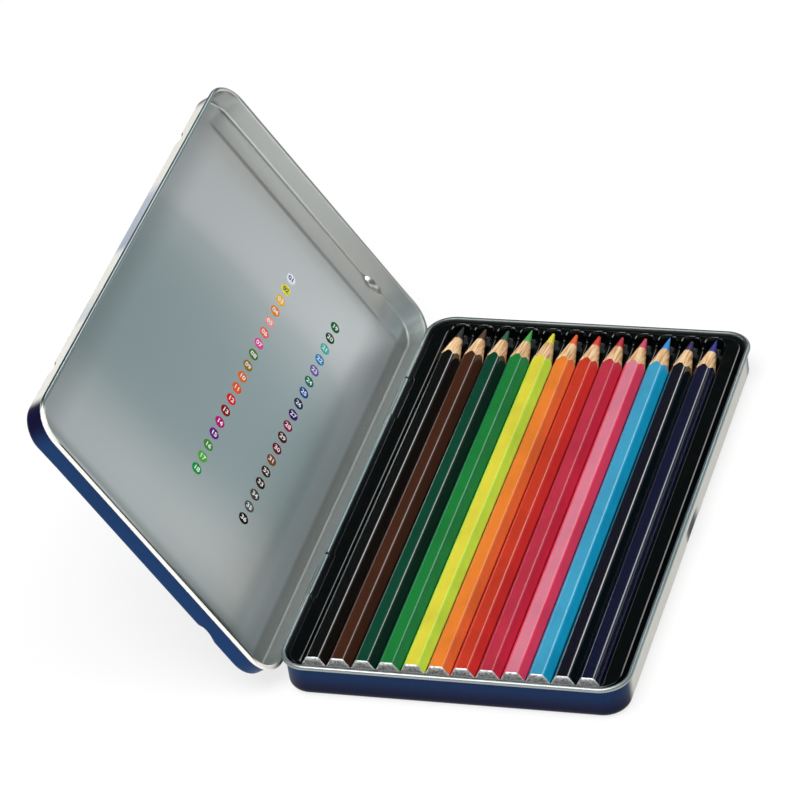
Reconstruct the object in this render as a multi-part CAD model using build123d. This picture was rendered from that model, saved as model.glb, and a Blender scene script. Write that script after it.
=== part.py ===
from build123d import *
from math import cos, hypot, radians, sqrt, tan
import os

# A flat hinged tin of twelve sharpened colour pencils, with its lid leaning back open.
# Millimetres. X runs across the pencils away from the hinge, Y along them to their points, Z up.
# The origin is the middle of the base's flat underside.

# Tinplate: the sheet, and the round curl that hems every rim
sheet = 0.3
curl_radius = 0.8
curl_turn = 290.0

# Base tin, measured to the middle of its curled rim
base_rim_length = 186.0
base_rim_width = 111.0
base_rim_corner = 8.7
base_height = 12.4
base_edge_radius = 2.5

# Thumb recess pressed into the front wall, under the edge of the closed lid
recess_length = 18.0
recess_depth = 0.6
recess_low = 1.6
recess_high = 5.4

# Lid tin, which closes over the rim of the base
lid_gap = 0.3
lid_depth = 8.5
lid_edge_radius = 1.2
lid_rim_height = 6.8
lid_open_angle = 121.8

# Raised field of the lid's panel, inset from the wall's inner face
field_rise = 0.4
field_inset_hinge = 3.5
field_inset_front = 4.5
field_inset_end = 9.0
field_corner = 4.0

# Dimples in the lid's top edge, which stop it on the rim of the base
dimple_gap = 0.25
dimple_stretch = 2.0
dimple_from_hinge = 24.0
dimple_from_middle = 64.3

# Two hinge lugs folded out of the base's rim and curled round the rim of the lid
lug_length = 20.0
lug_spacing = 95.0
lug_drop = 0.4
lug_bend = 0.6
lug_running_gap = 0.1
lug_wrap = 265.0
lug_side_gap = 0.6
window_side_gap = 0.75
window_swing_gap = 0.5

# Thermoformed pencil tray
tray_sheet = 0.5
tray_width = 107.0
tray_length = 182.9
tray_shift = -0.5
tray_end_gap = 0.4
tray_foot_gap = 0.2
tray_top = 11.2
tray_corner = 7.0
tray_edge_radius = 0.6
tray_floor = 6.7
tray_notch_depth = 0.7
tray_notch_length = 22.0

# Ribs and pockets of the tray
rib_drop = 2.0
rib_width = 0.9
rib_slope = 20.0
ribs_from_end = 3.6
pocket_radius = 2.9
pocket_draft = 8.0
row_gap = 0.35
row_corner = 2.0

# Hexagonal pencils
pencil_pitch = 8.0
pencil_flats = 6.9
pencil_edge_radius = 0.9
pencil_length = 181.9
pencil_end_gap = 0.3
end_bevel = 0.45
end_flat_radius = 2.7
point_taper = 0.185
lead_radius = 1.65
lead_cover = 0.8
glue_gap = 0.05

# Each pencil in its place from the hinge side, with how blunt its point is
point_radii = {
    "black": 0.25,
    "dark_brown": 0.4,
    "dark_green": 0.45,
    "green": 0.2,
    "yellow": 0.5,
    "orange": 0.5,
    "vermilion": 0.55,
    "crimson": 0.5,
    "pink": 0.5,
    "light_blue": 0.2,
    "violet": 0.55,
    "navy": 0.2,
}

# The wall of each tin stands one curl radius inside the middle of its rim
wall_inside = -curl_radius
wall_outside = wall_inside + sheet

# The lid's rim lies outside the base's rim by both curls and the gap between
lid_offset = 2 * curl_radius + lid_gap
lid_rim_width = base_rim_width + 2 * lid_offset
lid_rim_length = base_rim_length + 2 * lid_offset
lid_rim_corner = base_rim_corner + lid_offset
lid_top = lid_rim_height - curl_radius + lid_depth

# The hinge turns on the middle of the lid's rim
hinge_x = -lid_rim_width / 2
hinge_z = lid_rim_height
base_rim_z = base_height - curl_radius
lug_places = [-lug_spacing / 2, lug_spacing / 2]

# The tray lies close to the far wall, and its skirt stands on the round at the foot of that wall
tray_y = base_rim_length / 2 + wall_inside - tray_end_gap - tray_length / 2
floor_round = base_edge_radius - sheet
round_reach = max(floor_round - tray_end_gap, 0)
tray_foot = base_edge_radius - sqrt(floor_round ** 2 - round_reach ** 2) + tray_foot_gap
pocket_start = tray_y - tray_length / 2 + tray_sheet
pocket_end = tray_y + tray_length / 2 - tray_sheet
rib_top = tray_top - rib_drop
ribs_end = pocket_end - ribs_from_end


def tin_section(rim_z, edge_radius):
    """The sheet's section from the floor up the wall and round the curl; x is outward from the rim."""
    foot_x = wall_outside - edge_radius
    with BuildSketch() as section:
        with BuildLine():
            Line((foot_x, 0), (foot_x, sheet))
            CenterArc((foot_x, edge_radius), edge_radius - sheet, -90, 90)
            Line((wall_inside, edge_radius), (wall_inside, rim_z))
            outer = CenterArc((0, rim_z), curl_radius, 180, -curl_turn)
            inner = CenterArc((0, rim_z), curl_radius - sheet, 180, -curl_turn)
            Line(outer @ 1, inner @ 1)
            Line((wall_outside, rim_z), (wall_outside, edge_radius))
            CenterArc((foot_x, edge_radius), edge_radius, -90, 90)
        make_face()
    return section.sketch


def tin_pan(rim_width, rim_length, rim_corner, height, edge_radius):
    """A drawn pan, open upward, with its wall and curl carried round four rounded corners."""
    section = Plane.XZ * tin_section(height - curl_radius, edge_radius)
    half_width = rim_width / 2
    half_length = rim_length / 2
    corner = revolve(Pos(rim_corner, 0, 0) * section, axis=Axis.Z, revolution_arc=90)
    pieces = []
    for quarter, (side_x, side_y) in enumerate([(1, 1), (-1, 1), (-1, -1), (1, -1)]):
        reach = half_length if quarter % 2 else half_width
        run = (half_width if quarter % 2 else half_length) - rim_corner
        side = extrude(Pos(reach, 0, 0) * section, run, both=True)
        centre = (side_x * (half_width - rim_corner), side_y * (half_length - rim_corner), 0)
        pieces.append(Rot(0, 0, 90 * quarter) * side)
        pieces.append(Pos(*centre) * Rot(0, 0, 90 * quarter) * corner)
    inset = edge_radius - wall_outside
    floor = RectangleRounded(rim_width - 2 * inset, rim_length - 2 * inset, rim_corner - inset)
    return extrude(floor, sheet).fuse(*pieces)


def thumb_recess(grow):
    """The shallow hollow bent into the front wall, grown on each side for the skin behind it."""
    front = base_rim_width / 2 + wall_outside
    bend = (recess_length ** 2 / 4 + recess_depth ** 2) / (2 * recess_depth)
    height = recess_high - recess_low + 2 * grow
    return Pos(front + bend - recess_depth, 0, (recess_low + recess_high) / 2) * Cylinder(bend + grow, height)


def hinge_lug(place):
    """A lug that leaves the wall, folds outward, drops and curls round the rim of the lid."""
    reach = lid_offset - curl_radius - lug_running_gap
    fold_z = base_height - lug_drop
    root_z = base_rim_z - curl_radius - sheet
    corners = [(wall_inside, root_z), (wall_inside, fold_z), (reach, fold_z), (reach, hinge_z)]
    drop = FilletPolyline(*corners, radius=lug_bend)
    curl = CenterArc((lid_offset, hinge_z), curl_radius + lug_running_gap, 180, lug_wrap)
    strip = offset(Wire([*drop.edges(), *curl.edges()]), amount=sheet, side=Side.RIGHT, closed=True)
    section = Plane.XZ * make_face(strip.edges())
    lug = extrude(Pos(base_rim_width / 2, 0, 0) * section, lug_length / 2, both=True)
    return Pos(0, place, 0) * Rot(0, 0, 180) * lug


def base_tin():
    """The base: a curled pan with a thumb recess in front and the two hinge lugs behind."""
    base = tin_pan(base_rim_width, base_rim_length, base_rim_corner, base_height, base_edge_radius)
    front = base_rim_width / 2 + wall_outside
    hollow_reach = recess_depth + sheet
    behind = Pos(front - hollow_reach / 2, 0, base_height / 2) * Box(
        hollow_reach, base_rim_length, base_height
    )
    base = base + (thumb_recess(sheet) & behind) - thumb_recess(0)
    gap_low = base_rim_z - curl_radius - sheet
    for place in lug_places:
        middle = (-base_rim_width / 2, place, gap_low + curl_radius + sheet)
        cut = Box(3 * curl_radius, lug_length + 2 * lug_side_gap, 2 * (curl_radius + sheet))
        base = base - Pos(*middle) * cut + hinge_lug(place)
    return base


def lid_field(inner):
    """The raised field of the panel, in the pan's own frame; the inner one hollows it out."""
    inset = curl_radius
    low_x = -lid_rim_width / 2 + inset + field_inset_hinge
    high_x = lid_rim_width / 2 - inset - field_inset_front
    length = lid_rim_length - 2 * inset - 2 * field_inset_end
    outline = Pos((low_x + high_x) / 2, 0) * RectangleRounded(high_x - low_x, length, field_corner)
    height = sheet if inner else 0
    return Pos(0, 0, height) * extrude(outline, -field_rise, taper=45)


def lid_dimples(radius):
    """The four dimples in the pan's own frame, each drawn out along the wall it is pressed into."""
    side_x = lid_rim_width / 2 + wall_outside
    side_y = lid_rim_length / 2 + wall_outside
    end_x = -lid_rim_width / 2 + dimple_from_hinge
    front = scale(Sphere(radius), by=(1, dimple_stretch, 1))
    end = scale(Sphere(radius), by=(dimple_stretch, 1, 1))
    return [
        Pos(side_x, -dimple_from_middle, 0) * front,
        Pos(side_x, dimple_from_middle, 0) * front,
        Pos(end_x, -side_y, 0) * end,
        Pos(end_x, side_y, 0) * end,
    ]


def lid_tin():
    """The lid, made as a pan, turned over onto the base and swung open on the hinge."""
    lid = tin_pan(lid_rim_width, lid_rim_length, lid_rim_corner, lid_depth, lid_edge_radius)
    lid = lid + lid_field(False) - lid_field(True)
    rise = lid_top - base_rim_z
    reach = hypot(lid_offset + wall_outside, rise) - curl_radius - dimple_gap
    hull = Pos(0, 0, lid_depth / 2) * Box(
        lid_rim_width + 2 * wall_outside, lid_rim_length + 2 * wall_outside, lid_depth
    )
    for swelling, hollow in zip(lid_dimples(reach), lid_dimples(reach - sheet)):
        lid = lid + (swelling & hull) - hollow
    closed = Pos(0, 0, lid_top) * Rot(180, 0, 0) * lid
    window_top = curl_radius + lug_running_gap + sheet + window_swing_gap
    for place in lug_places:
        middle = Pos(hinge_x, place, hinge_z)
        length = lug_length + 2 * window_side_gap
        opening = Pos(0, 0, (window_top - curl_radius) / 2) * Box(
            4 * curl_radius, length, window_top + curl_radius
        )
        rod = Rot(90, 0, 0) * Cylinder(curl_radius, length)
        closed = closed - middle * (opening - rod)
    swing = Pos(hinge_x, 0, hinge_z) * Rot(0, -lid_open_angle, 0) * Pos(-hinge_x, 0, -hinge_z)
    return swing * closed


def tray_outline(inset):
    """The tray seen from above, notched beside each hinge lug."""
    corner = tray_corner - inset
    outline = RectangleRounded(tray_width - 2 * inset, tray_length - 2 * inset, corner)
    outline = Pos(tray_shift, tray_y) * outline
    edge_x = tray_shift - tray_width / 2 + inset
    for place in lug_places:
        notch = Rectangle(2 * tray_notch_depth, tray_notch_length + 2 * inset)
        outline = outline - Pos(edge_x, place) * notch
    return outline


def row_places():
    """The middle of each pencil across the tin."""
    first = tray_shift - pencil_pitch * (len(point_radii) - 1) / 2
    return [first + pencil_pitch * count for count in range(len(point_radii))]


def tray_hollows(grow):
    """All that is formed down into the tray: the row's recess, its troughs and the point pockets."""
    corner_reach = pencil_flats / 2 / cos(radians(30))
    row_width = pencil_pitch * (len(point_radii) - 1) + 2 * (corner_reach + row_gap + grow)
    row_length = ribs_end - pocket_start + 2 * grow
    row = RectangleRounded(row_width, row_length, row_corner + grow)
    row = Pos(tray_shift, (ribs_end + pocket_start) / 2, tray_top) * row
    recess = extrude(row, -(rib_drop + grow))
    trough_top = (pencil_pitch - rib_width) / 2 + grow / cos(radians(rib_slope))
    depth = rib_top - tray_floor + grow
    trough_foot = trough_top - depth * tan(radians(rib_slope))
    corners = [
        (-trough_top, rib_top),
        (trough_top, rib_top),
        (trough_foot, rib_top - depth),
        (-trough_foot, rib_top - depth),
    ]
    trough = extrude(Plane.XZ * Polygon(*corners, align=None), row_length, dir=(0, 1, 0))
    pocket_depth = tray_top - tray_floor + grow
    slot = Circle(pocket_radius + grow) + Pos(0, -pocket_radius / 2) * Rectangle(
        2 * (pocket_radius + grow), pocket_radius
    )
    pocket = extrude(slot, -pocket_depth, taper=pocket_draft)
    hollows = []
    for x in row_places():
        hollows.append(Pos(x, pocket_start - grow, 0) * trough)
        hollows.append(Pos(x, pocket_end - pocket_radius, tray_top) * pocket)
    return recess.fuse(*hollows)


def pencil_tray():
    """The tray: one formed sheet with a skirt down to the floor of the base."""
    block = Pos(0, 0, tray_foot) * extrude(tray_outline(0), tray_top - tray_foot)
    rim = block.faces().sort_by(Axis.Z)[-1].outer_wire()
    block = fillet(rim.edges(), tray_edge_radius)
    under = Pos(0, 0, tray_foot) * extrude(
        tray_outline(tray_sheet), tray_top - tray_sheet - tray_foot
    )
    return block - (under - tray_hollows(tray_sheet)) - tray_hollows(0)


def turned_form(blunt_end, point_radius):
    """A round form about Y from its blunt end's radii and places to a tapered, worn point."""
    slant = hypot(1, point_taper)
    centre = point_radius * slant / point_taper
    touch = centre - point_radius * point_taper / slant
    tip = centre - point_radius
    outer_radius = blunt_end[-1][0]
    half = Polygon(
        *blunt_end,
        (outer_radius, pencil_length - outer_radius / point_taper),
        (touch * point_taper, pencil_length - touch),
        (point_radius / 2, pencil_length - tip),
        (0, pencil_length - tip),
        align=None,
    )
    return revolve(half, axis=Axis.Y)


def pencil_casing(point_radius):
    """A lacquered hexagonal barrel, bevelled behind, sharpened in front and bored for its lead."""
    outline = RegularPolygon(pencil_flats / 2, 6, major_radius=False)
    outline = fillet(outline.vertices(), pencil_edge_radius)
    barrel = extrude(Plane.XZ * outline, pencil_length, dir=(0, 1, 0))
    corner_reach = pencil_flats / 2 / cos(radians(30))
    form = turned_form([(0, 0), (end_flat_radius, 0), (corner_reach, end_bevel)], point_radius)
    bore = Pos(0, lead_cover, 0) * Rot(-90, 0, 0) * Cylinder(
        lead_radius + glue_gap, pencil_length, align=(Align.CENTER, Align.CENTER, Align.MIN)
    )
    return (barrel & form) - bore


def pencil_lead(point_radius):
    """The lead, which fills the bore and carries the taper of the wood to its tip."""
    return turned_form([(0, lead_cover), (lead_radius, lead_cover)], point_radius)


def write(name, piece):
    """Write one sub-part under its own name."""
    piece.label = name
    export_step(piece, os.path.join("parts", name + ".step"))


os.makedirs("parts", exist_ok=True)
write("base_tin", base_tin())
write("lid_tin", lid_tin())
write("pencil_tray", pencil_tray())
for x, (colour, point_radius) in zip(row_places(), point_radii.items()):
    place = Pos(x, pocket_start + pencil_end_gap, tray_floor + pencil_flats / 2)
    write("pencil_" + colour, place * pencil_casing(point_radius))
    write("lead_" + colour, place * pencil_lead(point_radius))
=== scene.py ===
import bpy
import bmesh
import numpy as np
from math import atan2, cos, hypot, pi, radians, sin, sqrt, tan
from mathutils import Matrix


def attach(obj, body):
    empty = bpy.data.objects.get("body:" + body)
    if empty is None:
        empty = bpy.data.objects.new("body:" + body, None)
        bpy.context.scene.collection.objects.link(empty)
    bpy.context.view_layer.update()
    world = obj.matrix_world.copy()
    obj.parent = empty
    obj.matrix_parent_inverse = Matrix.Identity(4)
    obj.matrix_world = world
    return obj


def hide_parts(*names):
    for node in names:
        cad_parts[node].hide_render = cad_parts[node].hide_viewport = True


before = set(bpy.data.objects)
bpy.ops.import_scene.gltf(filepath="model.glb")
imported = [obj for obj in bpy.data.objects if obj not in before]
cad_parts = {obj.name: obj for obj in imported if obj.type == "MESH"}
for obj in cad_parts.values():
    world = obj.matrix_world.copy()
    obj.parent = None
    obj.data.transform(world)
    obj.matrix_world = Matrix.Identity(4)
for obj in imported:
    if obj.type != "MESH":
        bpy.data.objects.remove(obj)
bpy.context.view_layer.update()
print("frame loaded")

mm = 0.001  # lengths are in millimetres, as in the part's source, but for the studio's lamps

# camera, at the angle the tin was photographed from: degrees, millimetres and pixels

view = {
    "azimuth": 21.083, "elevation": 35.502, "roll": -9.227, "distance": 1489.4, "focal": 4614.0,
    "originPixel": (527.61, 522.71), "imageSize": 800, "sensor": 36, "nearClip": 0.05, "farClip": 20,
}


def setInPlace(holder, right, up, back, place):
    # a camera or lamp looks along the opposite of back
    axes = np.eye(4)
    axes[:3, 0], axes[:3, 1], axes[:3, 2], axes[:3, 3] = right, up, back, place
    holder.matrix_world = Matrix(axes.tolist())
    bpy.context.scene.collection.objects.link(holder)


def makeCamera():
    # the axes of the view are turned by the roll, then the camera slides sideways so that the
    # middle of the tin's underside falls on its pixel
    a, e, roll = (radians(view[key]) for key in ("azimuth", "elevation", "roll"))
    right = np.array([cos(a), sin(a), 0.0])
    back = np.array([sin(a) * cos(e), -cos(a) * cos(e), sin(e)])
    up = np.cross(back, right)
    turnedRight = cos(roll) * right + sin(roll) * up
    turnedUp = cos(roll) * up - sin(roll) * right
    half = view["imageSize"] / 2
    across = (view["originPixel"][0] - half) / view["focal"]
    down = (view["originPixel"][1] - half) / view["focal"]
    place = view["distance"] * mm * (back - across * turnedRight + down * turnedUp)
    camera = bpy.data.cameras.new("viewCamera")
    camera.sensor_width = view["sensor"]
    camera.lens = view["focal"] * view["sensor"] / view["imageSize"]
    camera.clip_start, camera.clip_end = view["nearClip"], view["farClip"]
    holder = bpy.data.objects.new("viewCamera", camera)
    setInPlace(holder, turnedRight, turnedUp, back, place)
    bpy.context.scene.camera = holder


# meshes

mergeDistance = 0.0005  # points nearer than this are one


def addPiece(name, points, faces, finishes, faceFinish=None, closed=True, crease=35):
    # points in millimetres become one mesh in metres; a closed shell has its faces turned outwards
    mesh = bpy.data.meshes.new(name)
    mesh.from_pydata((np.asarray(points, float) * mm).tolist(), [], [list(map(int, f)) for f in faces])
    for finish in finishes:
        mesh.materials.append(finish)
    if faceFinish is not None:
        mesh.polygons.foreach_set("material_index", np.asarray(faceFinish, np.int32))
    if closed:
        work = bmesh.new()
        work.from_mesh(mesh)
        bmesh.ops.remove_doubles(work, verts=work.verts, dist=mergeDistance * mm)
        bmesh.ops.recalc_face_normals(work, faces=work.faces)
        work.to_mesh(mesh)
        work.free()
    mesh.polygons.foreach_set("use_smooth", np.ones(len(mesh.polygons), bool))
    mesh.set_sharp_from_angle(angle=radians(crease))
    mesh.update()
    piece = bpy.data.objects.new(name, mesh)
    bpy.context.scene.collection.objects.link(piece)
    return piece


def gridQuads(rows, columns, ring=True, start=0):
    # cells between neighbouring rows and columns; a ring's last column meets its first
    index = start + np.arange(rows * columns).reshape(rows, columns)
    if ring:
        index = np.hstack([index, index[:, :1]])
    return np.stack([index[:-1, :-1], index[:-1, 1:], index[1:, 1:], index[1:, :-1]], -1)


def sheetShell(outer, inner, keep, ring):
    # two skins of one sheet, cell by cell where keep is true; along every free edge a strip joins
    # one skin to the other, so holes and ends show the sheet's thickness; a ring's first row is
    # left open for its floor
    rows, columns = outer.shape[:2]
    count = rows * columns
    index = np.arange(count).reshape(rows, columns)
    if ring:
        index = np.hstack([index, index[:, :1]])
    quads = gridQuads(rows, columns, ring)
    padded = np.zeros((keep.shape[0] + 2, keep.shape[1] + 2), bool)
    padded[1:-1, 1:-1] = keep
    if ring:
        padded[1:-1, 0], padded[1:-1, -1] = keep[:, -1], keep[:, 0]
        padded[0, 1:-1] = keep[0]
    acrossRows = padded[:-1, 1:-1] != padded[1:, 1:-1]
    acrossColumns = (padded[1:-1, :-1] != padded[1:-1, 1:])[:, :columns]
    strips = []
    for edges, first, second in (
        (acrossRows, index[:, :-1], index[:, 1:]),
        (acrossColumns, index[:-1, :columns], index[1:, :columns]),
    ):
        a, b = first[edges], second[edges]
        strips.append(np.stack([a, b, b + count, a + count], -1))
    points = np.concatenate([outer.reshape(-1, 3), inner.reshape(-1, 3)])
    return points, quads[keep], quads[keep] + count, np.concatenate(strips)


# materials: apart from addNode, the helpers return a link, (node, output), for another's socket


def inkColour(code):
    # an sRGB hex code turned linear, as Blender's sockets want it
    parts = np.array([int(code[i:i + 2], 16) / 255 for i in (1, 3, 5)])
    linear = np.where(parts <= 0.04045, parts / 12.92, ((parts + 0.055) / 1.055) ** 2.4)
    return (*linear.tolist(), 1.0)


def newFinish(name):
    finish = bpy.data.materials.new(name)
    finish.use_nodes = True
    finish.node_tree.nodes.clear()
    return finish


def addNode(finish, kind, sockets=None, **settings):
    # one node with its settings; a socket takes a value, or a link given as (node, output)
    node = finish.node_tree.nodes.new(kind)
    for key, value in settings.items():
        setattr(node, key, value)
    for key, value in (sockets or {}).items():
        if isinstance(value, tuple) and isinstance(value[0], bpy.types.Node):
            finish.node_tree.links.new(value[0].outputs[value[1]], node.inputs[key])
        else:
            node.inputs[key].default_value = value
    return node


def finishSurface(finish, sockets):
    shader = addNode(finish, "ShaderNodeBsdfPrincipled", sockets)
    addNode(finish, "ShaderNodeOutputMaterial", {"Surface": (shader, "BSDF")})
    return finish


def patternPlace(finish, stretch=(1, 1, 1)):
    coords = addNode(finish, "ShaderNodeTexCoord")
    return addNode(finish, "ShaderNodeMapping", {"Vector": (coords, "Object"), "Scale": stretch}), "Vector"


def softNoise(finish, place, size, detail=3.0, roughness=0.55):
    # size is the width in millimetres of one patch of the pattern
    return addNode(finish, "ShaderNodeTexNoise", {
        "Vector": place, "Scale": 1 / (size * mm), "Detail": detail, "Roughness": roughness,
    }), "Fac"


def alongDirection(finish, place, direction):
    # distance in metres along a fixed direction of the resting tin
    direction = tuple(float(part) for part in direction)
    return addNode(finish, "ShaderNodeVectorMath", {0: place, 1: direction}, operation="DOT_PRODUCT"), "Value"


def calculate(finish, operation, *values):
    return addNode(finish, "ShaderNodeMath", dict(enumerate(values)), operation=operation), 0


def times(finish, product, *amounts):
    # several amounts multiplied together
    for amount in amounts:
        product = calculate(finish, "MULTIPLY", product, amount)
    return product


def remap(finish, source, low, high, toLow, toHigh, blend="SMOOTHSTEP"):
    return addNode(finish, "ShaderNodeMapRange", {
        "Value": source, "From Min": low, "From Max": high, "To Min": toLow, "To Max": toHigh,
    }, interpolation_type=blend), 0


def softStep(finish, distance, ends, toLow=0, toHigh=1):
    # from one amount to another between two places given in millimetres
    return remap(finish, distance, ends[0] * mm, ends[1] * mm, toLow, toHigh)


def mixInk(finish, amount, first, second):
    return addNode(finish, "ShaderNodeMix", {0: amount, 6: first, 7: second}, data_type="RGBA"), 2


def addRamp(finish, amount, stops, blend="LINEAR"):
    # a colour ramp through stops of (position, colour), the first two of them the node's own
    node = addNode(finish, "ShaderNodeValToRGB", {"Fac": amount})
    ramp = node.color_ramp
    ramp.interpolation = blend
    for number, (position, colour) in enumerate(stops):
        stop = ramp.elements[number] if number < 2 else ramp.elements.new(position)
        stop.position, stop.color = position, colour
    return node, "Color"


def relief(finish, height, depth, under=None):
    # depth in millimetres
    sockets = {"Height": height, "Distance": depth * mm, "Strength": 1.0}
    if under is not None:
        sockets["Normal"] = under
    return addNode(finish, "ShaderNodeBump", sockets), "Normal"


# bands of painted reflection and shade along the tin, in millimetres from its middle, each with the name of
# an ink
tinBands = {
    "cloudSize": 75, "grainSize": 0.35, "grainDepth": 0.0006, "drift": 26, "lean": (-0.04, 1, 0.06),
    "reach": 100, "stops": [
        (-100, "nearEnd"), (100, "farEnd"), (-92, "nearEnd"), (-84, "dim"), (-76, "between"),
        (-64, "cool"), (-46, "between"), (-30, "dim"), (-5, "dim"), (20, "dim"), (46, "between"),
        (56, "cool"), (68, "cool"), (82, "cool"), (92, "farEnd"),
    ],
}

# places in millimetres: the hinge's painted shade, strip, openSide, besideOpen and the fold's ends lie
# outwards from the hinge's axis, rim lies inwards from it, and the others lie along the tin from its middle;
# the inks paint light and shade
lidPaintedLight = {
    # painted shade beside the hinge: its ink, the roughness added there and the metal left there
    "hingeShade": (7.0, 20.0), "hingeShadeInk": "#a8b0b1", "hingeShadeDulling": 0.12, "hingeShadeMetal": 0.5,
    # painted shade on the strip nearest the hinge, left out in grain specks
    "strip": (4.6, 6.6), "stripShadeInk": "#828784", "specks": (0.6, 0.68), "speckLeft": 0.4,
    # painted shade on the field beside the near rim
    "besideNear": (-84.5, -78.5), "besideNearShare": 0.5, "besideNearShadeInk": "#6e7776",
    # painted shade on the field beside the opening side
    "besideOpen": (98.2, 110.2), "besideOpenShare": 0.35, "besideOpenShadeInk": "#78878a",
    # painted shade on the rim on the opening side
    "rim": (-0.6, -0.5), "openSide": (113.7, 114.3), "openRimShadeInk": "#8a999c",
    # painted highlight on the rim at the near end, with its metal lowered
    "nearEnd": (-92.0, -86.0), "nearRimHighlightInk": "#fffdf6", "nearRimHighlightMetal": 0.2,
    # painted shadow line in the fold behind the near rim
    "fold": (-95.25, -95.1), "foldStart": (7.0, 11.0), "foldStop": (102.2, 105.2), "foldShadowInk": "#0a0e22",
}


def paintLidLightAndShade(finish, place, grain, ink, dull):
    # painted light and shade on the lid's bare tin: painted shade beside the hinge, with the metal lowered
    # and the gloss rubbed dull there, and darker painted shade on the strip nearest it, left out in bright
    # grain specks; on the rim a painted highlight at the near end and painted shade on the opening side, a
    # painted shadow line in the fold behind the near rim, and painted shade on the field beside both
    w = lidPaintedLight
    along = alongDirection(finish, place, (0, 1, 0))
    outward = alongDirection(finish, place, lidAlong)
    inward = alongDirection(finish, place, lidInward)

    def fromHinge(key, toLow=0, toHigh=1):
        return softStep(finish, outward, (hingeAlong + w[key][0], hingeAlong + w[key][1]), toLow, toHigh)

    # painted shade on the tin beside the hinge, with its metal lowered there too
    hingeShade = fromHinge("hingeShade", 1, 0)
    ink = mixInk(finish, hingeShade, ink, inkColour(w["hingeShadeInk"]))
    # painted shade on the strip nearest the hinge, broken where grain specks leave it out
    specks = remap(finish, grain, *w["specks"], 1, w["speckLeft"])
    ink = mixInk(finish, times(finish, fromHinge("strip", 1, 0), specks), ink, inkColour(w["stripShadeInk"]))
    dull = calculate(finish, "MULTIPLY_ADD", hingeShade, w["hingeShadeDulling"], dull)
    onRim = softStep(finish, inward, (hingeInward + w["rim"][0], hingeInward + w["rim"][1]))
    nearRim = times(finish, onRim, softStep(finish, along, w["nearEnd"], 1, 0))
    openRim = times(finish, onRim, fromHinge("openSide"))
    inFold = softStep(finish, along, w["fold"])
    for amount, code in (
        # painted shade on the field beside the near rim
        (softStep(finish, along, w["besideNear"], w["besideNearShare"], 0), w["besideNearShadeInk"]),
        # painted shade on the field beside the opening side
        (fromHinge("besideOpen", 0, w["besideOpenShare"]), w["besideOpenShadeInk"]),
        # painted shade on the rim on the opening side
        (openRim, w["openRimShadeInk"]),
        # painted highlight on the rim at the near end
        (nearRim, w["nearRimHighlightInk"]),
        # painted shadow line in the fold behind the near rim
        (times(finish, nearRim, inFold, fromHinge("foldStart"), fromHinge("foldStop", 1, 0)), w["foldShadowInk"]),
    ):
        ink = mixInk(finish, amount, ink, inkColour(code))
    hingeShadeMetal = remap(finish, hingeShade, 0, 1, 1, w["hingeShadeMetal"])
    metal = times(finish, hingeShadeMetal, remap(finish, nearRim, 0, 1, 1, w["nearRimHighlightMetal"]))
    return ink, dull, metal


def bareTinplate(name, codes, roughness, wornOrLidShaded):
    # tin flowed bright on a rolled steel sheet: cool satin grey with cloudy changes of tone, painted darker
    # and brighter in soft bands along the sheet as painted reflection and shade, with a grain too fine to see
    # as more than softness
    finish = newFinish(name)
    place = patternPlace(finish)
    clouds = softNoise(finish, place, tinBands["cloudSize"], 1)
    grain = softNoise(finish, place, tinBands["grainSize"], 2)
    along = alongDirection(finish, place, tinBands["lean"])
    pushed = calculate(finish, "MULTIPLY_ADD", clouds, tinBands["drift"] * mm, along)
    middle, reach = tinBands["drift"] / 2, tinBands["reach"]
    share = remap(finish, pushed, (middle - reach) * mm, (middle + reach) * mm, 0, 1, "LINEAR")
    inks = {key: inkColour(code) for key, code in codes.items()}
    inks["between"] = tuple((a + b) / 2 for a, b in zip(inks["dim"], inks["cool"]))
    stops = [((spot + reach) / (2 * reach), inks[key]) for spot, key in tinBands["stops"]]
    # painted reflection and shade: the ramp's bands run darker and brighter along the sheet, pushed about by
    # the clouds
    ink = addRamp(finish, share, stops, "B_SPLINE")
    dull = remap(finish, clouds, 0.3, 0.7, roughness - 0.03, roughness + 0.03)
    bump = relief(finish, grain, tinBands["grainDepth"])
    metal = 1.0
    # the lid's bare tin also gets its painted light and shade
    if wornOrLidShaded:
        ink, dull, metal = paintLidLightAndShade(finish, place, grain, ink, dull)
    return finishSurface(finish, {"Base Color": ink, "Metallic": metal, "Roughness": dull, "Normal": bump})


# the pale wall's ends and its brush strokes, in millimetres along the tin from its middle
paleWall = {
    "edge": (-0.5, 0.1), "ends": (86.5, 80.5), "reach": 95, "raggedSize": 6, "ragged": 6,
    "fadeIn": 4, "fadeOut": 8, "fadeShare": 0.8, "cream": "#dcdbd3", "stroke": "#929db2",
}


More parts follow.
